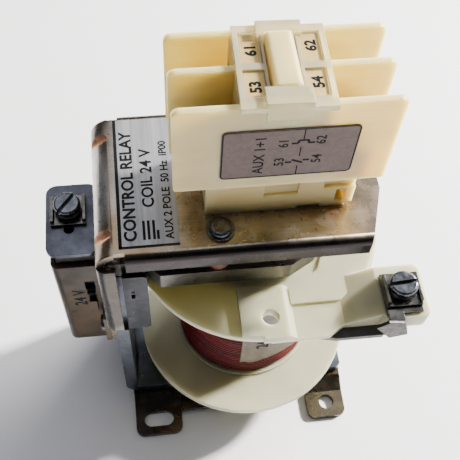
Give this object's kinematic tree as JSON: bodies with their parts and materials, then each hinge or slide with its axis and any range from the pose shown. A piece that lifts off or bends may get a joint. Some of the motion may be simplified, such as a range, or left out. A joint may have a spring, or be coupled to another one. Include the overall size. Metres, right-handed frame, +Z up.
{
  "type": "control relay",
  "caption": "Clapper-armature control relay with an open coil, a folded steel bracket and a plug-like auxiliary contact block on top.",
  "frame": {"origin": "coil axis on the plane under the feet", "axes": "+X from the armature hinge to its free end, +Y to the rear, +Z up along the coil"},
  "size_m": [0.0952, 0.0677, 0.14],
  "materials": {
    "zinc_steel": "zinc plated, satin",
    "bracket_steel": "nickel-zinc plated sheet, brushed",
    "soft_iron": "blue zinc plated",
    "nylon": "translucent, pale greenish yellow",
    "polyamide": "translucent, pale yellow",
    "clear_plastic": "clear, slightly milky",
    "enamel_wire": "dark red wire enamel",
    "paper": "greyish printed paper",
    "black_sleeve": "black insulating sleeve",
    "phenolic": "dark phenolic moulding",
    "terminal_steel": "zinc plated, glossy",
    "screw_steel": "zinc plated screw",
    "sticker_silver": null,
    "sticker_mauve": null,
    "card": "printed number cards",
    "brass": "brass",
    "spring_steel": "spring wire",
    "fibre": "vulcanised fibre"
  },
  "bodies": {
    "frame": {"armature_stops": "fibre", "block_screws": "screw_steel", "bobbin": "nylon", "channel_rivets": "screw_steel", "coil_spacer": "fibre", "contact_clamps": "terminal_steel", "contact_housing": "polyamide", "contact_screws": "screw_steel", "contact_sticker": "sticker_mauve", "core": "soft_iron", "core_screw": "screw_steel", "fixed_contacts_closing": "brass", "fixed_contacts_opening": "brass", "hinge_cheeks": "zinc_steel", "lead_lug": "black_sleeve", "left_coil_lead": "black_sleeve", "left_terminal_plate": "terminal_steel", "marker_cards": "card", "marker_frame": "clear_plastic", "mounting_plate": "bracket_steel", "nameplate": "sticker_silver", "return_spring": "spring_steel", "right_coil_lead": "black_sleeve", "right_terminal_nut": "screw_steel", "right_terminal_strip": "terminal_steel", "stop_rivets": "screw_steel", "terminal_channel": "bracket_steel", "terminal_insulator": "phenolic", "terminal_saddle_washers": "terminal_steel", "terminal_screws": "screw_steel", "terminal_spring_washers": "screw_steel", "top_bracket": "bracket_steel", "traverse_spring": "spring_steel", "winding": "enamel_wire", "winding_label": "paper", "yoke": "zinc_steel"},
    "armature": {"armature": "soft_iron", "armature_shim": "brass", "armature_leaf": "spring_steel", "leaf_rivets": "screw_steel"},
    "traverse": {"traverse": "polyamide", "traverse_stem": "screw_steel", "contact_bridge_closing": "brass", "contact_bridge_opening": "brass", "bridge_spring_closing": "spring_steel", "bridge_spring_opening": "spring_steel"}
  },
  "joints": [
    {"name": "armature_hinge", "type": "hinge", "parent": "frame", "child": "armature", "pos_m": [-0.036, 0, 0.0786], "axis": [0, 1, 0], "range_deg": [0, 4.4], "stiffness_Nm_per_rad": 0.6, "springref_deg": -6.88, "deforming": ["return_spring"]},
    {"name": "traverse_slide", "type": "slide", "parent": "frame", "child": "traverse", "axis": [0, 0, -1], "range_m": [0, 0.00284], "deforming": ["traverse_spring"]}
  ],
  "couplings": [
    {"joint": "traverse_slide", "follows": "armature_hinge", "m_per_rad": 0.0367}
  ]
}
